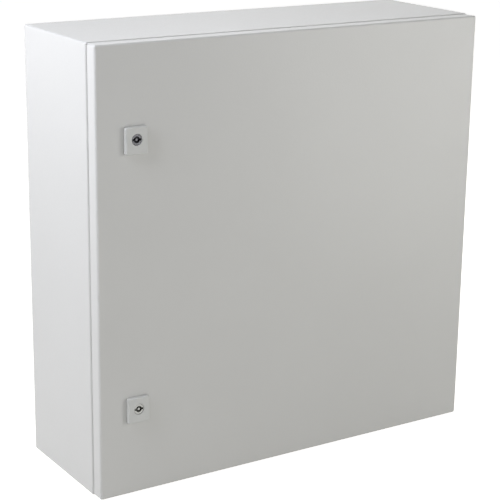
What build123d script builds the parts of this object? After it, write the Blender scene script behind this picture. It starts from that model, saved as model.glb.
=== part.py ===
from build123d import *
import math
import os

# A steel wall enclosure: a folded and welded steel body with a rain channel round its front,
# a tray-shaped door on two concealed hinges at the right, two quarter-turn locks for a
# double-bit key at the left, a galvanised mounting plate and a gland plate in the floor.
# Sizes are millimetres. +X is right, +Z is up and the front faces -Y. The origin is the
# centre of the rear face, on the wall. A depth is a distance in front of the wall: y = -depth.

# Overall size and sheet metal
width = 600.0
height = 600.0
depth = 200.0
body_sheet = 1.5
door_sheet = 1.5
fold_radius = 1.5
touch = 0.01

# Door tray, and the gap round it
door_reveal = 1.0
door_edge = 19.5
door_gap = 2.0
door_swing = 120.0
hook_notch_radius = 3.0
hook_notch_offset = 5.0

# Sealing lip of the rain channel, and the foam bead on the door that it meets
lip_height = 9.5
lip_corner = 10.0
bead_width = 12.0
bead_gap = 0.3

# Concealed hinges
hinge_end = 100.0
pin_radius = 2.5
pin_fit = 0.05
pin_inset = 5.5
pin_standoff = 11.5
pin_head = 2.0
eye_gap = 0.3
arm_height = 24.0
arm_gap = 0.5
swing_gap = 0.7
foot_width = 10.0
foot_thickness = 3.5
foot_gap = 2.0
leaf_web = 1.5
leaf_reach = 9.0
ear_thickness = 3.0
ear_gap = 0.3
hinge_screw_radius = 2.0
hinge_screw_head = 2.6
hinge_screw_room = 4.0
nut_plate_thickness = 3.0

# Quarter-turn locks
lock_end = 121.0
lock_inset = 18.2
lock_plate_width = 31.0
lock_plate_height = 35.0
lock_plate_thickness = 5.5
lock_plate_corner = 2.5
lock_plate_edge = 1.0
lock_plate_drop = 1.3
lock_seal_thickness = 0.8
lock_seal_inset = 0.8
barrel_radius = 9.0
barrel_flat = 1.0
barrel_gap = 0.2
lock_nut_flats = 24.0
lock_nut_thickness = 5.0
insert_radius = 7.4
insert_head = 10.0
insert_recess = 0.8
insert_chamfer = 0.5
insert_shaft_radius = 5.5
insert_fit = 0.08
socket_radius = 4.3
socket_depth = 8.0
socket_pin_radius = 1.6
socket_pin_drop = 0.6
bit_span = 12.6
bit_width = 3.0
square_side = 7.0
square_fit = 0.05
cam_thickness = 3.0
cam_width = 18.0
cam_overlap = 14.0
cam_gap = 0.5
cam_screw_radius = 2.5
cam_screw_length = 10.0
cam_screw_flats = 8.0
cam_screw_head = 3.5
cam_washer_radius = 7.0
cam_washer_thickness = 1.2

# Perforated rails on the inside of the door
rail_offset = 42.0
rail_crown = 22.0
rail_rise = 11.0
rail_flange = 9.0
rail_sheet = 1.2
rail_end_gap = 25.0
rail_slot_length = 12.0
rail_slot_width = 6.0
rail_slot_pitch = 25.0

# Rear panel: holes for the wall bolts, and welded studs that carry the mounting plate
wall_hole_inset = 25.0
wall_hole_radius = 4.5
plate_thickness = 2.0
plate_gap = 8.4
plate_clip = 25.0
plate_standoff = 15.0
plate_stud_inset = 20.0
shoulder_radius = 6.0

# Gland plate on the floor of the body
gland_side_margin = 100.0
gland_rear_margin = 35.0
gland_front_margin = 33.5
gland_opening_corner = 6.0
gland_overlap = 20.0
gland_seal_width = 9.0
gland_seal_thickness = 2.0
gland_stud_inset = 6.0
gland_stud_columns = 3
gland_sheet = 2.0

# Metric studs, nuts and washers, and the two earth studs
m8_radius = 4.0
m8_nut_flats = 13.0
m8_nut_thickness = 6.5
m8_washer_radius = 8.0
m8_washer_thickness = 1.6
m6_radius = 3.0
m6_nut_flats = 10.0
m6_nut_thickness = 5.0
thread_fit = 0.05
hole_gap = 0.4
stud_spare = 3.0
earth_stud_length = 18.0
earth_stud_foot = 1.2
earth_offset = 30.0

# Planes in the depth of the enclosure
fold_outside = fold_radius + body_sheet
door_fold_outside = fold_radius + door_sheet
body_depth = depth - door_edge - door_gap
channel_back = body_depth - body_sheet
lip_front = body_depth + lip_height
door_back = depth - door_sheet
bead_back = lip_front + bead_gap

# The hinge axis, and the room that the door's folded edge sweeps as it swings about it
axis_x = width / 2 - door_reveal - pin_inset
axis_depth = body_depth + pin_standoff
hinge_z = height / 2 - hinge_end
edge_inside = pin_inset - door_sheet
edge_back = pin_standoff - door_gap
eye_radius = edge_inside - eye_gap
swing_radius = math.hypot(pin_inset, edge_back)
swing_angle = math.radians(door_swing)
edge_ahead_when_open = -edge_inside * math.sin(swing_angle) - edge_back * math.cos(swing_angle)
sheet_ahead = door_back - axis_depth
arm_front = sheet_ahead - leaf_web - arm_gap
arm_back = edge_ahead_when_open + swing_gap
arm_thickness = arm_front - arm_back
leg_near = swing_radius + swing_gap
foot_centre = leg_near + foot_width / 2
hinge_screw_head_radius = 1.9 * hinge_screw_radius
hinge_screw_z = arm_height / 2 + hinge_screw_room + hinge_screw_head_radius
foot_height = 2 * (hinge_screw_z + hinge_screw_room + hinge_screw_head_radius)
ear_inside = arm_height / 2 + ear_gap
ear_outside = ear_inside + ear_thickness

# The rain channel is as wide as the hinge that stands in it
channel_width = door_reveal + pin_inset + leg_near + foot_width + foot_gap
lip_x = width / 2 - channel_width
lip_z = height / 2 - channel_width
opening_x = lip_x - body_sheet
opening_z = lip_z - body_sheet
bead_x = lip_x - body_sheet / 2
bead_z = lip_z - body_sheet / 2
bead_corner = lip_corner - body_sheet / 2
bead_inside_x = bead_x - bead_width / 2
bead_inside_z = bead_z - bead_width / 2

# Where the locks stand, and how far their cams reach behind the channel
lock_x = -(bead_inside_x - lock_inset)
lock_z = height / 2 - lock_end
lock_back = depth + lock_seal_thickness
lock_front = lock_back + lock_plate_thickness
cam_front = channel_back - cam_gap
cam_back = cam_front - cam_thickness
barrel_back = cam_front + cam_gap
insert_front = lock_front - insert_recess
insert_head_back = insert_front - insert_head
cam_reach = opening_x + lock_x + cam_overlap

# Inside fittings
plate_x = opening_x - plate_gap
plate_z = opening_z - plate_gap
plate_back = body_sheet + plate_standoff
plate_front = plate_back + plate_thickness
floor_z = -height / 2 + body_sheet
gland_opening_width = width - 2 * gland_side_margin
gland_opening_depth = body_depth - gland_rear_margin - gland_front_margin
gland_centre = gland_rear_margin + gland_opening_depth / 2
gland_width = gland_opening_width + 2 * gland_overlap
gland_depth = gland_opening_depth + 2 * gland_overlap
gland_top = floor_z + gland_seal_thickness + gland_sheet
door_earth_x = bead_inside_x - earth_offset
door_earth_z = -(bead_inside_z - earth_offset)
body_earth_x = (width + gland_width) / 4


def ahead(near, far, outline):
    """The outline, drawn in X and Z as the front shows it, solid from one depth to another."""
    return extrude(Plane.XZ.offset(near) * outline, far - near)


def upright(low, high, outline):
    """The outline, drawn in X and Y as a plan, solid from one height to another."""
    return extrude(Plane.XY.offset(low) * outline, high - low)


def hexagon(flats):
    """A hexagon measured across its flats."""
    return RegularPolygon(flats / 2, 6, major_radius=False)


def front_edges(solid):
    """The edges that lie furthest from the wall."""
    return solid.edges().group_by(Axis.Y)[0]


def corners(x, y):
    """The four places at plus and minus x and y."""
    return GridLocations(2 * x, 2 * y, 2, 2)


def spread(places, outline):
    """A copy of the outline at each place, as one sketch."""
    return Sketch() + [place * outline for place in places]


# Body

def body_shell():
    """The body before its joints are cut: walls, with the channel and lip round their front."""
    walls = ahead(0, body_depth, RectangleRounded(width, height, fold_outside))
    walls = fillet(front_edges(walls), fold_outside)
    room = RectangleRounded(width - 2 * body_sheet, height - 2 * body_sheet, fold_radius)
    hollow = ahead(0, channel_back, room)
    hollow = chamfer(front_edges(hollow), fold_radius)
    lip = ahead(channel_back, lip_front, RectangleRounded(2 * lip_x, 2 * lip_z, lip_corner))
    mouth = RectangleRounded(2 * opening_x, 2 * opening_z, lip_corner - body_sheet)
    body = walls - hollow + lip - ahead(channel_back, lip_front, mouth)
    body = fillet(lip_edges(body, body_depth), fold_radius)
    body = fillet(lip_edges(body, channel_back), fold_outside)
    cutout = RectangleRounded(gland_opening_width, gland_opening_depth, gland_opening_corner)
    body -= upright(-height / 2, floor_z, Pos(0, -gland_centre) * cutout)
    return body - hinge_screw_holes(channel_back, body_depth)


def side_outlines():
    """The four sides of the body, parted from each other by the mitres at its corners."""
    turns = ((-1, -1), (1, -1), (1, 1), (-1, 1))
    reach = channel_width + fold_outside
    outer = [((width / 2 + fold_outside) * x, (height / 2 + fold_outside) * z) for x, z in turns]
    inner = [((width / 2 - reach) * x, (height / 2 - reach) * z) for x, z in turns]
    sides = {}
    for start, side in enumerate(("bottom", "right", "top", "left")):
        end = (start + 1) % len(turns)
        sides[side] = Polygon(outer[start], outer[end], inner[end], inner[start], align=None)
    return sides


def body_sides():
    """Each wall with its folded front edge, and the channel section welded to that edge."""
    shell = body_shell()
    channels = ahead(0, lip_front, Rectangle(width - 2 * fold_outside, height - 2 * fold_outside))
    sides = {}
    for side, outline in side_outlines().items():
        part = shell & ahead(0, lip_front, outline)
        sides["wall_" + side] = part - channels
        sides["channel_" + side] = part & channels
    return sides


def lip_edges(body, at_depth):
    """The edges at the root of the lip, on one side of the sheet."""
    on_plane = body.edges().filter_by(lambda edge: abs(edge.center().Y + at_depth) < touch)
    return on_plane.filter_by(lambda edge: max(abs(edge.center().X) - lip_x,
                                               abs(edge.center().Z) - lip_z) < touch)


def hinge_screw_holes(near, far):
    """The holes for the hinge screws through a sheet behind the hinge feet."""
    hole = Circle(hinge_screw_radius + thread_fit)
    return ahead(near, far, spread(hinge_screw_places(), hole))


def hinge_screw_places():
    """Two screws for each hinge, above and below its arm."""
    heights = [side * hinge_z + end * hinge_screw_z for side in (1, -1) for end in (1, -1)]
    return Locations(*[(axis_x - foot_centre, z) for z in heights])


def rear_panel():
    """The flat back, welded inside the rear edge of the walls, with four wall bolt holes."""
    sheet = RectangleRounded(width - 2 * body_sheet, height - 2 * body_sheet, fold_radius)
    holes = corners(width / 2 - wall_hole_inset, height / 2 - wall_hole_inset)
    return ahead(0, body_sheet, sheet - spread(holes, Circle(wall_hole_radius)))


# Mounting plate and its fixings

def plate_places():
    return corners(plate_x - plate_stud_inset, plate_z - plate_stud_inset)


def mounting_plate():
    """A flat plate with clipped corners, which leave the wall bolts within reach."""
    outline = chamfer(Rectangle(2 * plate_x, 2 * plate_z).vertices(), plate_clip)
    outline -= spread(plate_places(), Circle(m8_radius + hole_gap))
    return ahead(plate_back, plate_front, outline)


def plate_studs():
    """Shouldered studs, welded to the rear panel."""
    tip = plate_front + m8_washer_thickness + m8_nut_thickness + stud_spare
    shoulders = ahead(body_sheet, plate_back, spread(plate_places(), Circle(shoulder_radius)))
    return shoulders + ahead(plate_back, tip, spread(plate_places(), Circle(m8_radius)))


def plate_washers():
    ring = Circle(m8_washer_radius) - Circle(m8_radius + thread_fit)
    return ahead(plate_front, plate_front + m8_washer_thickness, spread(plate_places(), ring))


def plate_nuts():
    near = plate_front + m8_washer_thickness
    nut = hexagon(m8_nut_flats) - Circle(m8_radius + thread_fit)
    return ahead(near, near + m8_nut_thickness, spread(plate_places(), nut))


# Gland plate and its fixings

def gland_places():
    """Two rows of studs, in front of the opening and behind it."""
    pitch = (gland_width - 2 * gland_stud_inset) / (gland_stud_columns - 1)
    row_gap = gland_depth - 2 * gland_stud_inset
    grid = GridLocations(pitch, row_gap, gland_stud_columns, 2)
    return [Pos(0, -gland_centre) * place for place in grid]


def gland_plate():
    """A plain plate over the opening in the floor, to be drilled for cable glands."""
    outline = Pos(0, -gland_centre) * Rectangle(gland_width, gland_depth)
    outline -= spread(gland_places(), Circle(m6_radius + hole_gap))
    return upright(gland_top - gland_sheet, gland_top, outline)


def gland_seal():
    """The flat foam frame under the gland plate, between the opening and the studs."""
    outer = Rectangle(gland_opening_width + 2 * gland_seal_width,
                      gland_opening_depth + 2 * gland_seal_width)
    frame = outer - Rectangle(gland_opening_width, gland_opening_depth)
    return upright(floor_z, floor_z + gland_seal_thickness, Pos(0, -gland_centre) * frame)


def gland_studs():
    tip = gland_top + m6_nut_thickness + stud_spare
    return upright(floor_z, tip, spread(gland_places(), Circle(m6_radius)))


def gland_nuts():
    """The nuts that clamp the gland plate to its studs."""
    nut = hexagon(m6_nut_flats) - Circle(m6_radius + thread_fit)
    return upright(gland_top, gland_top + m6_nut_thickness, spread(gland_places(), nut))


# Earth studs: one on the floor of the body, one inside the door

def earth_set():
    """A welded stud and its nut, standing up from the origin."""
    stud = upright(0, earth_stud_foot, Circle(shoulder_radius))
    stud += upright(earth_stud_foot, earth_stud_length, Circle(m8_radius))
    nut = hexagon(m8_nut_flats) - Circle(m8_radius + thread_fit)
    nut = upright(earth_stud_foot, earth_stud_foot + m8_nut_thickness, nut)
    return {"stud": stud, "nut": nut}


# Door

def door_panel():
    """One sheet folded into a shallow tray, holed for the locks and notched at the top edge."""
    door_width = width - 2 * door_reveal
    door_height = height - 2 * door_reveal
    tray_back = depth - door_edge
    outside = ahead(tray_back, depth, RectangleRounded(door_width, door_height, door_fold_outside))
    outside = fillet(front_edges(outside), door_fold_outside)
    inside_outline = RectangleRounded(door_width - 2 * door_sheet, door_height - 2 * door_sheet,
                                      fold_radius)
    inside = ahead(tray_back, door_back, inside_outline)
    inside = chamfer(front_edges(inside), fold_radius)
    lock_places = Locations((lock_x, lock_z), (lock_x, -lock_z))
    notch = Pos(-hook_notch_offset, -tray_back) * Circle(hook_notch_radius)
    top_inside = height / 2 - door_reveal - door_sheet
    lock_holes = spread(lock_places, barrel_outline(barrel_gap))
    tray = outside - inside - ahead(door_back, depth, lock_holes)
    return tray - upright(top_inside, top_inside + door_sheet, notch)


def door_bead():
    """The foamed seal that the lip presses into."""
    outer = RectangleRounded(2 * bead_x + bead_width, 2 * bead_z + bead_width,
                             bead_corner + bead_width / 2)
    inner = RectangleRounded(2 * bead_inside_x, 2 * bead_inside_z, bead_corner - bead_width / 2)
    return ahead(bead_back, door_back, outer - inner)


def door_rail(x):
    """A hat-section rail welded inside the door, slotted down its crown for clips and ties."""
    half_length = bead_inside_z - rail_end_gap
    half_crown = rail_crown / 2
    rise_back = -door_back + rail_rise
    web = Pos(half_crown - rail_sheet / 2, -door_back + rail_rise / 2) * Rectangle(rail_sheet, rail_rise)
    flange = Pos(half_crown + rail_flange / 2 - rail_sheet, -door_back + rail_sheet / 2) \
        * Rectangle(rail_flange, rail_sheet)
    crown = Pos(0, rise_back - rail_sheet / 2) * Rectangle(rail_crown, rail_sheet)
    side = web + flange
    section = crown + side + mirror(side, Plane.YZ)
    rail = upright(-half_length, half_length, Pos(x, 0) * section)
    slot_count = int(2 * (half_length - rail_slot_length) / rail_slot_pitch) + 1
    slot = Rectangle(rail_slot_width, rail_slot_length)
    slots = spread(GridLocations(0, rail_slot_pitch, 1, slot_count), slot)
    return rail - ahead(door_back - rail_rise, door_back - rail_rise + rail_sheet, Pos(x, 0) * slots)


# Hinges

def hinge_arm(z):
    """A gooseneck: it leaves the pin forwards, passes the swinging edge and turns back to a foot."""
    middle = -(arm_front + arm_back) / 2
    leg_x = -(leg_near + arm_thickness / 2)
    line = FilletPolyline((0, 0), (0, middle), (leg_x, middle), (leg_x, pin_standoff),
                          radius=0.75 * arm_thickness)
    profile = trace(line, arm_thickness) + Circle(eye_radius) - Circle(pin_radius + pin_fit)
    arm = upright(-arm_height / 2, arm_height / 2, profile)
    foot = Pos(-foot_centre, pin_standoff - foot_thickness / 2) * Rectangle(foot_width, foot_thickness)
    arm += upright(-foot_height / 2, foot_height / 2, foot)
    arm = Pos(axis_x, -axis_depth, z) * arm
    return arm - hinge_screw_holes(body_depth, body_depth + foot_thickness)


def hinge_leaf(z):
    """A bracket welded inside the door, with an ear above the arm and an ear below it."""
    web_right = edge_inside - fold_radius - arm_gap
    web_width = web_right + leaf_reach
    web = Pos(web_right - web_width / 2, leaf_web / 2 - sheet_ahead) * Rectangle(web_width, leaf_web)
    bracket = upright(-ear_outside, ear_outside, web)
    ear = make_hull((Circle(eye_radius) + web).edges()) - Circle(pin_radius + pin_fit)
    for low in (ear_inside, -ear_outside):
        bracket += upright(low, low + ear_thickness, ear)
    return Pos(axis_x, -axis_depth, z) * bracket


def hinge_pin(z):
    """The pin drops in from above, and its head rests on the upper ear."""
    pin = upright(-ear_outside - pin_head, ear_outside, Circle(pin_radius))
    pin += upright(ear_outside, ear_outside + pin_head, Circle(eye_radius - pin_fit))
    return Pos(axis_x, -axis_depth, z) * pin


def hinge_screws():
    """Screws through the hinge feet and the channel, into the plates behind it."""
    head_back = body_depth + foot_thickness
    heads = spread(hinge_screw_places(), Circle(hinge_screw_head_radius))
    shanks = spread(hinge_screw_places(), Circle(hinge_screw_radius))
    screws = ahead(head_back, head_back + hinge_screw_head, heads)
    return screws + ahead(channel_back - nut_plate_thickness, head_back, shanks)


def hinge_nut_plate(z):
    """A tapped plate inside the body that the hinge screws pull against."""
    plate = Pos(axis_x - foot_centre, z) * Rectangle(foot_width, foot_height)
    plate = ahead(channel_back - nut_plate_thickness, channel_back, plate)
    return plate - hinge_screw_holes(channel_back - nut_plate_thickness, channel_back)


# Locks

def barrel_outline(gap):
    """A round barrel with two flats, which keep it from turning in the door."""
    radius = barrel_radius + gap
    return Circle(radius) & Rectangle(2 * radius, 2 * (radius - barrel_flat))


def lock_housing(z):
    """A cast plate on the face of the door, and the barrel behind it that carries the insert."""
    place = Pos(lock_x, z)
    face = RectangleRounded(lock_plate_width, lock_plate_height, lock_plate_corner)
    plate = ahead(lock_back, lock_front, Pos(lock_x, z - lock_plate_drop) * face)
    plate = chamfer(front_edges(plate), lock_plate_edge)
    housing = plate + ahead(barrel_back, lock_back, place * barrel_outline(0))
    housing -= ahead(insert_head_back, lock_front, place * Circle(insert_radius + insert_fit))
    return housing - ahead(barrel_back, insert_head_back,
                           place * Circle(insert_shaft_radius + insert_fit))


def lock_seal(z):
    """The flat rubber seal between the lock plate and the door."""
    margin = 2 * lock_seal_inset
    face = Pos(0, -lock_plate_drop) * Rectangle(lock_plate_width - margin, lock_plate_height - margin)
    return ahead(depth, lock_back, Pos(lock_x, z) * (face - Circle(barrel_radius + barrel_gap)))


def lock_nut(z):
    """The large thin nut that clamps the barrel from inside the door."""
    nut = hexagon(lock_nut_flats) - Circle(barrel_radius + thread_fit)
    return ahead(door_back - lock_nut_thickness, door_back, Pos(lock_x, z) * nut)


def lock_insert(z):
    """The turning insert: a socket with a centre pin for the key, and a square for the cam."""
    place = Pos(lock_x, z)
    head = ahead(insert_head_back, insert_front, place * Circle(insert_radius))
    head = chamfer(front_edges(head), insert_chamfer)
    socket = Circle(socket_radius) + Rectangle(bit_span, bit_width) - Circle(socket_pin_radius)
    insert = head - ahead(insert_front - socket_depth, insert_front, place * socket)
    pin_tip = insert_front - socket_pin_drop
    insert -= ahead(pin_tip, insert_front, place * Circle(socket_pin_radius))
    insert += ahead(cam_front, insert_head_back, place * Circle(insert_shaft_radius))
    insert += ahead(cam_back, cam_front, place * Rectangle(square_side, square_side))
    screw_hole = place * Circle(cam_screw_radius + thread_fit)
    return insert - ahead(cam_back, cam_back + cam_screw_length, screw_hole)


def lock_cam(z):
    """The tongue, hanging down unlocked. A quarter turn swings it behind the channel."""
    end_radius = cam_width / 2
    reach = cam_reach - end_radius
    tongue = Circle(end_radius) + Pos(0, -reach / 2) * Rectangle(cam_width, reach)
    tongue += Pos(0, -reach) * Circle(end_radius)
    hole_side = square_side + 2 * square_fit
    tongue -= Rectangle(hole_side, hole_side)
    return ahead(cam_back, cam_front, Pos(lock_x, z) * tongue)


def lock_cam_screw(z):
    """A washer-head screw that holds the cam on the square."""
    place = Pos(lock_x, z)
    washer_back = cam_back - cam_washer_thickness
    head = place * hexagon(cam_screw_flats)
    screw = ahead(washer_back - cam_screw_head, washer_back, head)
    screw += ahead(washer_back, cam_back, place * Circle(cam_washer_radius))
    shank = place * Circle(cam_screw_radius)
    return screw + ahead(cam_back, cam_back + cam_screw_length, shank)


# All pieces by name
pieces = {
    "rear_panel": rear_panel(),
    "mounting_plate": mounting_plate(),
    "plate_studs": plate_studs(),
    "plate_washers": plate_washers(),
    "plate_nuts": plate_nuts(),
    "gland_plate": gland_plate(),
    "gland_seal": gland_seal(),
    "gland_studs": gland_studs(),
    "gland_nuts": gland_nuts(),
    "hinge_screws": hinge_screws(),
    "door_panel": door_panel(),
    "door_bead": door_bead(),
    "door_rail_left": door_rail(lock_x + rail_offset),
    "door_rail_right": door_rail(-lock_x - rail_offset),
}
pieces.update(body_sides())
for name, solid in earth_set().items():
    pieces["body_earth_" + name] = Pos(body_earth_x, -gland_centre, floor_z) * solid
    inside_door = Pos(door_earth_x, -door_back, door_earth_z) * Rot(X=-90)
    pieces["door_earth_" + name] = inside_door * solid
for end, side in (("upper", 1), ("lower", -1)):
    pieces["hinge_arm_" + end] = hinge_arm(side * hinge_z)
    pieces["hinge_leaf_" + end] = hinge_leaf(side * hinge_z)
    pieces["hinge_pin_" + end] = hinge_pin(side * hinge_z)
    pieces["hinge_nut_plate_" + end] = hinge_nut_plate(side * hinge_z)
    pieces["lock_housing_" + end] = lock_housing(side * lock_z)
    pieces["lock_seal_" + end] = lock_seal(side * lock_z)
    pieces["lock_nut_" + end] = lock_nut(side * lock_z)
    pieces["lock_insert_" + end] = lock_insert(side * lock_z)
    pieces["lock_cam_" + end] = lock_cam(side * lock_z)
    pieces["lock_cam_screw_" + end] = lock_cam_screw(side * lock_z)

os.makedirs("parts", exist_ok=True)
for name, solid in pieces.items():
    export_step(solid, os.path.join("parts", name + ".step"))
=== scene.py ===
import math
import bmesh
import bpy
from mathutils import Matrix, Vector


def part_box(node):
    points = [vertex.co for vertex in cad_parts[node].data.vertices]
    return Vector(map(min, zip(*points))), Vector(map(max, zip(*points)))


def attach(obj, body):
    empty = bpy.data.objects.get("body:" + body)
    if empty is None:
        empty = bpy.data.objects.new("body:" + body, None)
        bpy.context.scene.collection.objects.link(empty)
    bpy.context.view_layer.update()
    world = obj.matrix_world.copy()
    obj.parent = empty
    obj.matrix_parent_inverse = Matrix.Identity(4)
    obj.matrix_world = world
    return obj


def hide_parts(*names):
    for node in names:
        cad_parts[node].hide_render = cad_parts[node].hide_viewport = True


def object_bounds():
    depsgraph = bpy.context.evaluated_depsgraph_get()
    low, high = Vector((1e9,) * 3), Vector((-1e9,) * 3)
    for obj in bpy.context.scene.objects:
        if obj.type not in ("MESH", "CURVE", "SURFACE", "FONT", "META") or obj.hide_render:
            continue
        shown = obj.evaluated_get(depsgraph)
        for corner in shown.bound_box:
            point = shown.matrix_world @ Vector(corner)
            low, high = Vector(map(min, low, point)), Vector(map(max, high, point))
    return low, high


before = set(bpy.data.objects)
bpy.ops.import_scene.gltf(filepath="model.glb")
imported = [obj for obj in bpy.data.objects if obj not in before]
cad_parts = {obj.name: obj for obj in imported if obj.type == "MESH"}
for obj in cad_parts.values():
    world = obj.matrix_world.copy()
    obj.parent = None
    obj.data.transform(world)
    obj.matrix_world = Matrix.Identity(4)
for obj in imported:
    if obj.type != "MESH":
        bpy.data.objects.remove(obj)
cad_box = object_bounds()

# Body walls, rain channel and rear panel
# Four steel sheets, folded at the front, mitred and welded, with the channel sections and the
# back welded in. Ground flush at the seams, then powder coated inside and out in light grey.
PAINT_GREY = "#CBCBC8"
PAINT_PALE = "#D0D0CD"
ORANGE_PEEL_MM = 2.6
PAINT_CLOUD_MM = 160.0
PAINT_ROUGHNESS = (0.36, 0.46)
PAINT_IOR = 1.5
PEEL_STRENGTH = 0.45
PEEL_DEPTH = 0.0003
NOISE_LOW = 0.3
NOISE_HIGH = 0.7
SIDES = ("left", "right", "top", "bottom")


def colour(code):
    """An sRGB hex value as the linear colour that a shader takes."""
    parts = [int(code[start:start + 2], 16) / 255 for start in (1, 3, 5)]
    linear = [p / 12.92 if p <= 0.04045 else ((p + 0.055) / 1.055) ** 2.4 for p in parts]
    return (*linear, 1.0)


def add_node(tree, kind, settings=None, **inputs):
    """Adds one node. A socket given as an input is linked, and any other value is set."""
    node = tree.nodes.new(kind)
    for name, value in (settings or {}).items():
        setattr(node, name, value)
    for name, value in inputs.items():
        target = node.inputs[int(name[1:]) if name[0] == "_" else name.replace("_", " ")]
        if isinstance(value, bpy.types.NodeSocket):
            tree.links.new(value, target)
        else:
            target.default_value = value
    return node


def new_material(name):
    """An empty node material, with its tree and its output."""
    material = bpy.data.materials.new(name)
    material.use_nodes = True
    tree = material.node_tree
    tree.nodes.clear()
    output = tree.nodes.new("ShaderNodeOutputMaterial")
    return material, tree, output


def powder_coat(name, base, pale, peel_mm=ORANGE_PEEL_MM, roughness=PAINT_ROUGHNESS):
    """Powder coat: a satin plastic film whose fine orange peel breaks up its gloss."""
    material, tree, output = new_material(name)
    place = add_node(tree, "ShaderNodeTexCoord").outputs["Object"]
    peel = add_node(tree, "ShaderNodeTexNoise", Vector=place, Scale=1000 / peel_mm,
                    Detail=2.0, Roughness=0.55).outputs["Fac"]
    cloud = add_node(tree, "ShaderNodeTexNoise", Vector=place, Scale=1000 / PAINT_CLOUD_MM,
                     Detail=3.0, Roughness=0.5).outputs["Fac"]
    tint = add_node(tree, "ShaderNodeMix", {"data_type": "RGBA"}, _0=cloud,
                    _6=colour(base), _7=colour(pale)).outputs[2]
    rough = add_node(tree, "ShaderNodeMapRange", Value=peel, From_Min=NOISE_LOW, From_Max=NOISE_HIGH,
                     To_Min=roughness[0], To_Max=roughness[1]).outputs[0]
    bump = add_node(tree, "ShaderNodeBump", Strength=PEEL_STRENGTH, Distance=PEEL_DEPTH,
                    Height=peel).outputs[0]
    coat = add_node(tree, "ShaderNodeBsdfPrincipled", Base_Color=tint, Roughness=rough,
                    Normal=bump, IOR=PAINT_IOR)
    tree.links.new(coat.outputs[0], output.inputs[0])
    return material


def finish_node(material, *names):
    """Gives CAD nodes a finish through their own material slots."""
    for name in names:
        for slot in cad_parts[name].material_slots:
            slot.material = material


body_paint = powder_coat("body_powder_coat", PAINT_GREY, PAINT_PALE)
for side in SIDES:
    finish_node(body_paint, "wall_" + side, "channel_" + side)
finish_node(body_paint, "rear_panel")

# Studs of the mounting plate
# Shouldered M8 weld studs on the rear panel, zinc plated. The shoulder carries the plate, and
# the rolled thread beyond it takes a washer and a nut.
THREAD_STEPS = 32
M8_RADIUS = 0.004
M8_PITCH = 0.00125
M8_DEPTH = 0.00062
TIP_TAPER = 0.7
SHOULDER = 0.006
ZINC_GREY = "#B9BCBE"
ZINC_DARK = "#9DA1A3"
ZINC_GRAIN_MM = 3.0
ZINC_ROUGHNESS = (0.26, 0.44)
GRAIN_STRENGTH = 0.1
GRAIN_DEPTH = 0.0001
MERGE_REACH = 1e-6
SMOOTH_BELOW = math.radians(32)
FORWARD = Matrix.Rotation(math.pi / 2, 4, "X")


def plated_metal(name, light, dark, grain_mm=ZINC_GRAIN_MM, roughness=ZINC_ROUGHNESS):
    """Zinc plate or bare casting: a metal with cloudy, slightly uneven gloss."""
    material, tree, output = new_material(name)
    place = add_node(tree, "ShaderNodeTexCoord").outputs["Object"]
    grain = add_node(tree, "ShaderNodeTexNoise", Vector=place, Scale=1000 / grain_mm,
                     Detail=4.0, Roughness=0.6).outputs["Fac"]
    tint = add_node(tree, "ShaderNodeMix", {"data_type": "RGBA"}, _0=grain,
                    _6=colour(dark), _7=colour(light)).outputs[2]
    rough = add_node(tree, "ShaderNodeMapRange", Value=grain, From_Min=NOISE_LOW, From_Max=NOISE_HIGH,
                     To_Min=roughness[0], To_Max=roughness[1]).outputs[0]
    bump = add_node(tree, "ShaderNodeBump", Strength=GRAIN_STRENGTH, Distance=GRAIN_DEPTH,
                    Height=grain).outputs[0]
    metal = add_node(tree, "ShaderNodeBsdfPrincipled", Base_Color=tint, Roughness=rough,
                     Normal=bump, Metallic=1.0)
    tree.links.new(metal.outputs[0], output.inputs[0])
    return material


def spun(mesh, profile, place, turn=None, steps=THREAD_STEPS):
    """Spins a profile of radius and height about Z, then turns it and sets it in its place."""
    verts = [mesh.verts.new((radius, 0, height)) for radius, height in profile]
    edges = [mesh.edges.new(pair) for pair in zip(verts, verts[1:])]
    before = set(mesh.verts) - set(verts)
    bmesh.ops.spin(mesh, geom=verts + edges, cent=(0, 0, 0), axis=(0, 0, 1),
                   angle=2 * math.pi, steps=steps, use_merge=True)
    made = [vert for vert in mesh.verts if vert not in before]
    bmesh.ops.remove_doubles(mesh, verts=made, dist=MERGE_REACH)
    made = [vert for vert in mesh.verts if vert not in before]
    move = Matrix.Translation(place) @ (turn or Matrix())
    bmesh.ops.transform(mesh, matrix=move, verts=made)
    return made


def thread(low, high, radius, pitch, deep):
    """A profile of rolled ridges from one height to another, with a chamfered tip."""
    root = radius - deep
    tip = radius / 4
    count = int((high - low - tip) / pitch)
    start = high - tip - count * pitch
    ridges = [(root, low), (root, start)]
    for turn in range(count):
        ridges.append((radius, start + (turn + 0.5) * pitch))
        ridges.append((root, start + (turn + 1) * pitch))
    return ridges + [(root, high - tip / 2), (root - TIP_TAPER * deep, high), (0, high)]


def piece(name, mesh, material, body, nodes):
    """Makes the piece's object, gives it a finish, hangs it on the body it rides on and hides the CAD
    nodes it replaces.
    """
    bmesh.ops.recalc_face_normals(mesh, faces=mesh.faces)
    data = bpy.data.meshes.new(name)
    mesh.to_mesh(data)
    mesh.free()
    data.materials.append(material)
    made = bpy.data.objects.new(name, data)
    bpy.context.scene.collection.objects.link(made)
    data.polygons.foreach_set("use_smooth", [True] * len(data.polygons))
    data.set_sharp_from_angle(angle=SMOOTH_BELOW)
    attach(made, body)
    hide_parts(*nodes)


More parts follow.
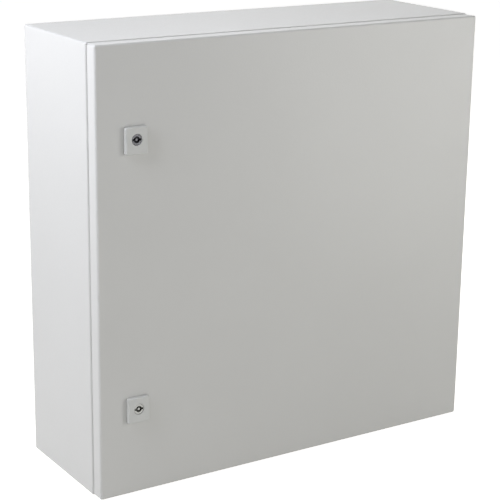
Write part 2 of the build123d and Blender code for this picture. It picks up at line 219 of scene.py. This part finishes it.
zinc_plate = plated_metal("zinc_plated_steel", ZINC_GREY, ZINC_DARK)
low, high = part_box("plate_studs")
plate_back = -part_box("mounting_plate")[1].y
stud_x = high.x - SHOULDER
stud_z = high.z - SHOULDER
plate_places = [(x, z) for x in (-stud_x, stud_x) for z in (-stud_z, stud_z)]
shoulder = [(0, -high.y), (SHOULDER, -high.y), (SHOULDER, plate_back)]
stud = shoulder + thread(plate_back, -low.y, M8_RADIUS, M8_PITCH, M8_DEPTH)
mesh = bmesh.new()
for x, z in plate_places:
    spun(mesh, stud, (x, 0, z), FORWARD)
piece("plate_studs_threaded", mesh, zinc_plate, "enclosure", ["plate_studs"])

# Mounting plate
# A flat sheet with clipped corners, hot-dip galvanised, so its zinc has frozen in large flat
# crystals that catch the light differently. It hangs on the four studs.
SPANGLE_MM = 9.0
SPANGLE_WARP_MM = 5.4
SPANGLE_DRIFT = 0.006
SPANGLE_DARK = "#AEB2B4"
SPANGLE_PALE = "#BFC2C4"
SPANGLE_ROUGHNESS = (0.34, 0.46)
SPANGLE_STRENGTH = 0.06
SPANGLE_DEPTH = 0.0002
SPANGLE_METAL = 0.9


def galvanised(name):
    """Hot-dip galvanised sheet: crystal spangle of slightly different greys and gloss."""
    material, tree, output = new_material(name)
    place = add_node(tree, "ShaderNodeTexCoord").outputs["Object"]
    warp = add_node(tree, "ShaderNodeTexNoise", Vector=place, Scale=1000 / SPANGLE_WARP_MM,
                    Detail=2.0).outputs["Color"]
    drift = add_node(tree, "ShaderNodeVectorMath", {"operation": "MULTIPLY_ADD"}, _0=warp,
                     _1=(SPANGLE_DRIFT,) * 3, _2=place).outputs[0]
    cells = add_node(tree, "ShaderNodeTexVoronoi", {"feature": "F1"}, Vector=drift,
                     Scale=1000 / SPANGLE_MM).outputs["Color"]
    shade = add_node(tree, "ShaderNodeSeparateColor", Color=cells)
    tint = add_node(tree, "ShaderNodeMix", {"data_type": "RGBA"}, _0=shade.outputs[0],
                    _6=colour(SPANGLE_DARK), _7=colour(SPANGLE_PALE)).outputs[2]
    rough = add_node(tree, "ShaderNodeMapRange", Value=shade.outputs[1],
                     To_Min=SPANGLE_ROUGHNESS[0], To_Max=SPANGLE_ROUGHNESS[1]).outputs[0]
    bump = add_node(tree, "ShaderNodeBump", Strength=SPANGLE_STRENGTH, Distance=SPANGLE_DEPTH,
                    Height=shade.outputs[2]).outputs[0]
    metal = add_node(tree, "ShaderNodeBsdfPrincipled", Base_Color=tint, Roughness=rough,
                     Normal=bump, Metallic=SPANGLE_METAL)
    tree.links.new(metal.outputs[0], output.inputs[0])
    return material


spangled_zinc = galvanised("galvanised_sheet")
finish_node(spangled_zinc, "mounting_plate")

# Washers and nuts of the mounting plate
# Pressed M8 washers and forged hexagon nuts, zinc plated. A cone turned on each face of the nut
# takes off its corners.
NUT_STEPS = 24
M8_FLATS = 0.013
NUT_FACE_SHARE = 0.475
NUT_RIM_SHARE = 0.9
NUT_BORE_CHAMFER = 1.12
NUT_CONE_SLOPE = math.tan(math.radians(30))
THREAD_PLAY = 0.0001
SIXTH_TURN = math.pi / 3


def hex_nut(mesh, low, high, flats, bore, place, turn=None):
    """A nut spun as a ring, with its rim drawn out to six flats and its corners chamfered."""
    face = NUT_FACE_SHARE * flats
    mouth = NUT_BORE_CHAMFER * bore
    eased = bore / 8
    ring = [(bore, low + eased), (mouth, low), (face, low), (flats, low), (flats, high),
            (face, high), (mouth, high), (bore, high - eased), (bore, low + eased)]
    made = spun(mesh, ring, (0, 0, 0), None, NUT_STEPS)
    for vert in made:
        if math.hypot(vert.co.x, vert.co.y) > NUT_RIM_SHARE * flats:
            angle = math.atan2(vert.co.y, vert.co.x)
            from_flat = (angle + SIXTH_TURN / 2) % SIXTH_TURN - SIXTH_TURN / 2
            radius = flats / 2 / math.cos(from_flat)
            drop = (radius - face) * NUT_CONE_SLOPE
            vert.co.x = radius * math.cos(angle)
            vert.co.y = radius * math.sin(angle)
            vert.co.z = low + drop if vert.co.z < (low + high) / 2 else high - drop
    bmesh.ops.transform(mesh, matrix=Matrix.Translation(place) @ (turn or Matrix()), verts=made)


finish_node(zinc_plate, "plate_washers")
low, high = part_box("plate_nuts")
mesh = bmesh.new()
for x, z in plate_places:
    hex_nut(mesh, -high.y, -low.y, M8_FLATS, M8_RADIUS + THREAD_PLAY, (x, 0, z), FORWARD)
piece("plate_nuts_chamfered", mesh, zinc_plate, "enclosure", ["plate_nuts"])

# Gland plate and its seal
# A plain painted plate that closes the opening in the floor until it is drilled for cable
# glands. It squeezes a flat frame of closed-cell foam against the floor.
FOAM_DARK = "#3A3A3A"
FOAM_PALE = "#474747"
FOAM_PORE_MM = 1.3
FOAM_ROUGHNESS = 0.82
FOAM_IOR = 1.45
PORE_STRENGTH = 0.35
PORE_DEPTH = 0.0003
SEAL_WIDTH = 0.009
SEAL_EASE = 0.0005
CORNER_ANGLE = 1.0


def closed_cell_foam(name):
    """Foam with a matt skin, dimpled by its cells, which are drawn coarser than life to show."""
    material, tree, output = new_material(name)
    place = add_node(tree, "ShaderNodeTexCoord").outputs["Object"]
    pores = add_node(tree, "ShaderNodeTexVoronoi", {"feature": "SMOOTH_F1"}, Vector=place,
                     Scale=1000 / FOAM_PORE_MM).outputs["Distance"]
    tint = add_node(tree, "ShaderNodeMix", {"data_type": "RGBA"}, _0=pores,
                    _6=colour(FOAM_DARK), _7=colour(FOAM_PALE)).outputs[2]
    bump = add_node(tree, "ShaderNodeBump", Strength=PORE_STRENGTH, Distance=PORE_DEPTH,
                    Height=pores).outputs[0]
    skin = add_node(tree, "ShaderNodeBsdfPrincipled", Base_Color=tint, Roughness=FOAM_ROUGHNESS,
                    Normal=bump, IOR=FOAM_IOR)
    tree.links.new(skin.outputs[0], output.inputs[0])
    return material


foam = closed_cell_foam("dark_closed_cell_foam")
finish_node(body_paint, "gland_plate")
low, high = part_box("gland_seal")
size = high - low
middle = (low + high) / 2
mesh = bmesh.new()
bmesh.ops.create_grid(mesh, x_segments=1, y_segments=1, size=0.5)
bmesh.ops.transform(mesh, matrix=Matrix.Translation((middle.x, middle.y, low.z))
                    @ Matrix.Diagonal((size.x, size.y, 1, 1)), verts=mesh.verts)
frame_face = mesh.faces[:]
bmesh.ops.inset_region(mesh, faces=frame_face, thickness=SEAL_WIDTH, use_even_offset=True,
                       use_boundary=True)
bmesh.ops.delete(mesh, geom=frame_face, context="FACES_ONLY")
rise = bmesh.ops.extrude_face_region(mesh, geom=mesh.faces[:], use_keep_orig=True)
top = [item for item in rise["geom"] if isinstance(item, bmesh.types.BMVert)]
bmesh.ops.translate(mesh, vec=(0, 0, size.z), verts=top)
rims = [edge for edge in mesh.edges
        if len(edge.link_faces) == 2 and edge.calc_face_angle() > CORNER_ANGLE]
bmesh.ops.bevel(mesh, geom=rims, offset=SEAL_EASE, offset_type="OFFSET", segments=2, profile=0.5,
                affect="EDGES", material=-1)
piece("gland_seal_foam", mesh, foam, "enclosure", ["gland_seal"])

# Studs and nuts of the gland plate
# Six M6 weld studs on the floor, three in front of the opening and three behind it, each with a
# plain nut. All zinc plated.
M6_RADIUS = 0.003
M6_PITCH = 0.001
M6_DEPTH = 0.0005
M6_FLATS = 0.010
stud_low, stud_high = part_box("gland_studs")
nut_low, nut_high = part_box("gland_nuts")
columns = (stud_low.x + M6_RADIUS, 0, stud_high.x - M6_RADIUS)
rows = (stud_low.y + M6_RADIUS, stud_high.y - M6_RADIUS)
stud = [(0, stud_low.z)] + thread(stud_low.z, stud_high.z, M6_RADIUS, M6_PITCH, M6_DEPTH)
studs = bmesh.new()
nuts = bmesh.new()
for x in columns:
    for y in rows:
        spun(studs, stud, (x, y, 0))
        hex_nut(nuts, nut_low.z, nut_high.z, M6_FLATS, M6_RADIUS + THREAD_PLAY, (x, y, 0))
piece("gland_studs_threaded", studs, zinc_plate, "enclosure", ["gland_studs"])
piece("gland_nuts_chamfered", nuts, zinc_plate, "enclosure", ["gland_nuts"])

# Earth studs of the body and the door
# M8 weld studs left bare of paint, each on a thin collar and with its nut: one stands on the
# floor of the body, the other inside the door.
EARTH_COLLAR = 0.0012
INWARD = Matrix.Rotation(-math.pi / 2, 4, "X")
collar = [(0, 0), (SHOULDER, 0), (SHOULDER, EARTH_COLLAR)]
for owner, body in (("body", "enclosure"), ("door", "door")):
    low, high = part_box(owner + "_earth_stud")
    nut_low, nut_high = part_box(owner + "_earth_nut")
    if owner == "body":
        place = Vector(((low.x + high.x) / 2, (low.y + high.y) / 2, low.z))
        turn = Matrix()
        length = high.z - low.z
        seat = nut_low.z - low.z
        tall = nut_high.z - nut_low.z
    else:
        place = Vector(((low.x + high.x) / 2, low.y, (low.z + high.z) / 2))
        turn = INWARD
        length = high.y - low.y
        seat = nut_low.y - low.y
        tall = nut_high.y - nut_low.y
    studs = bmesh.new()
    spun(studs, collar + thread(EARTH_COLLAR, length, M8_RADIUS, M8_PITCH, M8_DEPTH), place, turn)
    piece(owner + "_earth_stud_threaded", studs, zinc_plate, body,
          [owner + "_earth_stud"])
    nuts = bmesh.new()
    hex_nut(nuts, seat, seat + tall, M8_FLATS, M8_RADIUS + THREAD_PLAY, place, turn)
    piece(owner + "_earth_nut_chamfered", nuts, zinc_plate, body,
          [owner + "_earth_nut"])

# Hinge arms on the body
# Gooseneck arms cast in zinc. They stand in the rain channel, and each is screwed through it
# into a tapped plate behind.
ENDS = ("upper", "lower")
CASTING_GREY = "#A9ACAD"
CASTING_DARK = "#8E9293"
CASTING_GRAIN_MM = 2.0
CASTING_ROUGHNESS = (0.38, 0.55)
cast_zinc = plated_metal("zinc_casting", CASTING_GREY, CASTING_DARK, CASTING_GRAIN_MM,
                         CASTING_ROUGHNESS)
for end in ENDS:
    finish_node(cast_zinc, "hinge_arm_" + end)
    finish_node(zinc_plate, "hinge_nut_plate_" + end)

# Hinge screws
# M4 pan-head screws, zinc plated, two through the foot of each arm. The head is domed and has
# a round recess in its crown.
SCREW_HEAD = 0.0038
SCREW_SHANK = 0.002
SCREW_HEAD_TALL = 0.0026
SCREW_RECESS = 0.0012
low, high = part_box("hinge_screws")
centre_x = (low.x + high.x) / 2
tip = -high.y
crown = -low.y
seat = crown - SCREW_HEAD_TALL
foot_low, foot_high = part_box("hinge_arm_upper")
hinge_z = (foot_low.z + foot_high.z) / 2
screw_reach = high.z - SCREW_HEAD - hinge_z
mesh = bmesh.new()
head = [(0, tip), (SCREW_SHANK, tip), (SCREW_SHANK, seat), (SCREW_HEAD, seat),
        (SCREW_HEAD, seat + 0.45 * SCREW_HEAD_TALL),
        (0.93 * SCREW_HEAD, seat + 0.75 * SCREW_HEAD_TALL),
        (0.75 * SCREW_HEAD, seat + 0.94 * SCREW_HEAD_TALL), (0.5 * SCREW_HEAD, crown),
        (1.25 * SCREW_RECESS, crown), (SCREW_RECESS, crown - SCREW_RECESS), (0, crown - SCREW_RECESS)]
for middle_z in (hinge_z, -hinge_z):
    for z in (middle_z + screw_reach, middle_z - screw_reach):
        spun(mesh, head, (centre_x, 0, z), FORWARD, NUT_STEPS)
piece("hinge_screws_pan_head", mesh, zinc_plate, "enclosure", ["hinge_screws"])

# Door
# One sheet folded into a shallow tray, powder coated with the body and hung in front of it, so
# that a thin dark gap runs all round. A small round notch is cut in its top edge.
door_paint = powder_coat("door_powder_coat", PAINT_GREY, PAINT_PALE)
finish_node(door_paint, "door_panel")

# Foamed seal of the door
# A bead of foam, poured straight on to the inside of the door in one run, so it sits domed
# and soft where the lip of the rain channel meets it.
BEAD_WIDTH = 0.012
BEAD_CORNER = 0.01525
BEAD_DOME = 0.42 * BEAD_WIDTH
FLUSH = 1e-5
low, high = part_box("door_bead")
size = high - low
middle = (low + high) / 2
mesh = bmesh.new()
bmesh.ops.create_grid(mesh, x_segments=1, y_segments=1, size=0.5)
bmesh.ops.transform(mesh, matrix=Matrix.Translation((middle.x, low.y, middle.z)) @ FORWARD
                    @ Matrix.Diagonal((size.x, size.z, 1, 1)), verts=mesh.verts)
bmesh.ops.bevel(mesh, geom=mesh.verts[:], offset=BEAD_CORNER, offset_type="OFFSET", segments=10,
                profile=0.5, affect="VERTICES", material=-1)
outline = mesh.faces[:]
bmesh.ops.inset_region(mesh, faces=outline, thickness=BEAD_WIDTH, use_even_offset=True,
                       use_boundary=True)
bmesh.ops.delete(mesh, geom=outline, context="FACES_ONLY")
rise = bmesh.ops.extrude_face_region(mesh, geom=mesh.faces[:], use_keep_orig=True)
back = [item for item in rise["geom"] if isinstance(item, bmesh.types.BMVert)]
bmesh.ops.translate(mesh, vec=(0, size.y, 0), verts=back)
bmesh.ops.remove_doubles(mesh, verts=mesh.verts, dist=MERGE_REACH)
bmesh.ops.recalc_face_normals(mesh, faces=mesh.faces)
rims = [edge for edge in mesh.edges
        if all(abs(vert.co.y - high.y) < FLUSH for vert in edge.verts)
        and len(edge.link_faces) == 2 and edge.calc_face_angle() > CORNER_ANGLE]
bmesh.ops.bevel(mesh, geom=rims, offset=BEAD_DOME, offset_type="OFFSET", segments=6,
                profile=0.5, affect="EDGES", material=-1)
piece("door_bead_domed", mesh, foam, "door", ["door_bead"])

# Rails inside the door
# Hat-section rails of galvanised sheet, slotted every 25 mm and spot welded to the door. They
# stiffen it and carry clips and cable ties.
finish_node(spangled_zinc, "door_rail_left", "door_rail_right")

# Hinge leaves and pins on the door
# Folded brackets with two ears, welded to the inside of the door. A plated steel pin drops
# through the ears and the eye of the arm between them.
for end in ENDS:
    finish_node(zinc_plate, "hinge_leaf_" + end, "hinge_pin_" + end)

# Lock housings, their seals and nuts
# Cast plates painted to match the door, each on a flat black seal that shows as a thin dark
# line. A large nut clamps the barrel from inside.
LOCK_GREY = "#C9CAC7"
LOCK_PALE = "#CECFCC"
LOCK_PEEL_MM = 1.6
LOCK_ROUGHNESS = (0.3, 0.4)
RUBBER_DARK = "#1E1E1E"
RUBBER_PALE = "#2A2A2A"
RUBBER_GRIT_MM = 0.8
RUBBER_ROUGHNESS = 0.7
GRIT_STRENGTH = 0.2
GRIT_DEPTH = 0.0001
lock_paint = powder_coat("lock_plate_paint", LOCK_GREY, LOCK_PALE, LOCK_PEEL_MM, LOCK_ROUGHNESS)
# Moulded rubber is matt and faintly gritty. The grit is drawn coarser than life so that it shows.
rubber, tree, output = new_material("black_rubber")
place = add_node(tree, "ShaderNodeTexCoord").outputs["Object"]
grit = add_node(tree, "ShaderNodeTexNoise", Vector=place, Scale=1000 / RUBBER_GRIT_MM,
                Detail=2.0).outputs["Fac"]
tint = add_node(tree, "ShaderNodeMix", {"data_type": "RGBA"}, _0=grit,
                _6=colour(RUBBER_DARK), _7=colour(RUBBER_PALE)).outputs[2]
bump = add_node(tree, "ShaderNodeBump", Strength=GRIT_STRENGTH, Distance=GRIT_DEPTH,
                Height=grit).outputs[0]
skin = add_node(tree, "ShaderNodeBsdfPrincipled", Base_Color=tint, Roughness=RUBBER_ROUGHNESS,
                Normal=bump)
tree.links.new(skin.outputs[0], output.inputs[0])
for end in ENDS:
    finish_node(lock_paint, "lock_housing_" + end)
    finish_node(rubber, "lock_seal_" + end)
    finish_node(cast_zinc, "lock_nut_" + end)

# Lock inserts, cams and cam screws
# Zinc inserts that a double-bit key turns. The upper one has dulled to a dark grey, the lower one
# is still bright. A steel cam sits on the square of each, held by a washer-head screw.
INSERT_GRAIN_MM = 1.8
DULL_GREY = "#7C7C7F"
DULL_DARK = "#48484B"
DULL_ROUGHNESS = (0.22, 0.42)
BRIGHT_GREY = "#AEAEAA"
BRIGHT_DARK = "#90918E"
BRIGHT_ROUGHNESS = (0.3, 0.45)
dull_zinc = plated_metal("dulled_zinc_insert", DULL_GREY, DULL_DARK, INSERT_GRAIN_MM, DULL_ROUGHNESS)
bright_zinc = plated_metal("bright_zinc_insert", BRIGHT_GREY, BRIGHT_DARK, INSERT_GRAIN_MM,
                           BRIGHT_ROUGHNESS)
finish_node(dull_zinc, "lock_insert_upper")
finish_node(bright_zinc, "lock_insert_lower")
for end in ENDS:
    finish_node(zinc_plate, "lock_cam_" + end, "lock_cam_screw_" + end)

# Floor and backdrop
# A plain pale floor that the box stands on. It keeps the shadow of the box, and the white round
# it is what the camera and the bright metal see. The walls of the room are lighter than its ceiling.
FLOOR_GREY = "#CFCDC6"
FLOOR_GLOW = 0.92
FLOOR_HALF = 6.0
FLOOR_DROP = 0.0002
WHITE_LIGHT = "#FFFFFF"
WALL_LIGHT = 0.33
CEILING_LIGHT = 0.1
WALL_RISE = 0.1
CEILING_RISE = 0.7


def seen_directly(tree):
    """One for a ray that sees the backdrop, straight or mirrored, and zero for one that only lights."""
    ray = add_node(tree, "ShaderNodeLightPath")
    seen = add_node(tree, "ShaderNodeMath", {"operation": "MAXIMUM"}, _0=ray.outputs["Is Camera Ray"],
                    _1=ray.outputs["Is Glossy Ray"]).outputs[0]
    return add_node(tree, "ShaderNodeMath", {"operation": "MAXIMUM"}, _0=seen,
                    _1=ray.outputs["Is Transmission Ray"]).outputs[0]


floor_mesh = bmesh.new()
bmesh.ops.create_grid(floor_mesh, x_segments=1, y_segments=1, size=FLOOR_HALF)
bmesh.ops.translate(floor_mesh, vec=(0, 0, cad_box[0][2] - FLOOR_DROP), verts=floor_mesh.verts)
floor_data = bpy.data.meshes.new("floor")
floor_mesh.to_mesh(floor_data)
floor_mesh.free()
floor = bpy.data.objects.new("floor", floor_data)
bpy.context.scene.collection.objects.link(floor)
floor_white, tree, output = new_material("floor_white")
matt = add_node(tree, "ShaderNodeBsdfDiffuse", Color=colour(FLOOR_GREY))
strength = add_node(tree, "ShaderNodeMath", {"operation": "MULTIPLY"}, _0=seen_directly(tree),
                    _1=FLOOR_GLOW).outputs[0]
glow = add_node(tree, "ShaderNodeEmission", Color=colour(WHITE_LIGHT), Strength=strength)
both = add_node(tree, "ShaderNodeAddShader", _0=matt.outputs[0], _1=glow.outputs[0])
tree.links.new(both.outputs[0], output.inputs[0])
floor_data.materials.append(floor_white)

world = bpy.data.worlds.new("studio")
bpy.context.scene.world = world
world.use_nodes = True
tree = world.node_tree
tree.nodes.clear()
direction = add_node(tree, "ShaderNodeTexCoord").outputs["Generated"]
rise = add_node(tree, "ShaderNodeSeparateXYZ", _0=direction).outputs["Z"]
room = add_node(tree, "ShaderNodeMapRange", Value=rise, From_Min=WALL_RISE, From_Max=CEILING_RISE,
                To_Min=WALL_LIGHT, To_Max=CEILING_LIGHT).outputs[0]
strength = add_node(tree, "ShaderNodeMix", {"data_type": "FLOAT"}, _0=seen_directly(tree), _2=room,
                    _3=1.0).outputs[0]
sky = add_node(tree, "ShaderNodeBackground", Color=colour(WHITE_LIGHT), Strength=strength)
tree.links.new(sky.outputs[0], add_node(tree, "ShaderNodeOutputWorld").inputs[0])

# Lamps
# Cool lamps round the left, one of them far off and a little in front, so that it catches the left
# edges of the door and the lock plates. A weak one low in front, a wide and a narrow one that fade
# across the door from the right, and three more for the right wall, the top and the back.
LAMP_AIM = Vector((0, -0.1, 0))
DOOR_UPPER_RIGHT = Vector((0.22, -0.2, 0.2))
COOL_LIGHT = "#F3F5FF"
WIDE = 180.0
NARROW = 15.0


def lamp(name, place, size, watts, tint=WHITE_LIGHT, aim=LAMP_AIM, spread=WIDE):
    """A square soft lamp, aimed at the middle of the box or at a given place."""
    data = bpy.data.lights.new(name, "AREA")
    data.shape = "SQUARE"
    data.size = size
    data.energy = watts
    data.spread = math.radians(spread)
    data.color = colour(tint)[:3]
    made = bpy.data.objects.new(name, data)
    made.location = place
    made.rotation_euler = (aim - Vector(place)).to_track_quat("-Z", "Y").to_euler()
    bpy.context.scene.collection.objects.link(made)


lamp("left_lamp", (-1.1, -0.3, 0.9), 0.5, 8.6, COOL_LIGHT)
lamp("rear_left_lamp", (-1.05, 0.3, 0.85), 0.5, 4.4, COOL_LIGHT)
lamp("far_left_lamp", (-2.6, -0.55, 0.9), 0.6, 7.8, COOL_LIGHT)
lamp("low_front_lamp", (-0.6, -1.0, -0.1), 0.4, 1.0)
lamp("right_lamp", (1.3, -1.6, 0.3), 1.0, 13.0)
lamp("narrow_right_lamp", (0.8, -2.0, 0.6), 0.5, 0.06, aim=DOOR_UPPER_RIGHT, spread=NARROW)
lamp("right_wall_lamp", (1.8, 0.3, 0.0), 0.8, 6.0)
lamp("rear_high_lamp", (0.9, 1.1, 1.6), 1.0, 11.5)
lamp("rear_low_lamp", (-1.3, 1.6, 0.3), 1.0, 6.0)

# Camera
# It stands at the left of the front, a little above the box, with a long lens and level but for
# a slight roll.
CAMERA_PLACE = Vector((-1.11626, -1.82988, 0.57691))
AZIMUTH = -0.56939
ELEVATION = 0.28471
ROLL = 0.014
LENS_MM = 109.21
SENSOR_MM = 36.0
back = Vector((math.sin(AZIMUTH) * math.cos(ELEVATION), -math.cos(AZIMUTH) * math.cos(ELEVATION),
               math.sin(ELEVATION)))
level = (-back).cross(Vector((0, 0, 1))).normalized()
upright = level.cross(-back)
right = math.cos(ROLL) * level + math.sin(ROLL) * upright
above = math.cos(ROLL) * upright - math.sin(ROLL) * level
camera_data = bpy.data.cameras.new("camera")
camera_data.sensor_width = SENSOR_MM
camera_data.lens = LENS_MM
camera = bpy.data.objects.new("camera", camera_data)
turn = Matrix((right, above, back)).transposed().to_4x4()
camera.matrix_world = Matrix.Translation(CAMERA_PLACE) @ turn
bpy.context.scene.collection.objects.link(camera)
bpy.context.scene.camera = camera
bpy.context.scene.view_settings.view_transform = "Standard"
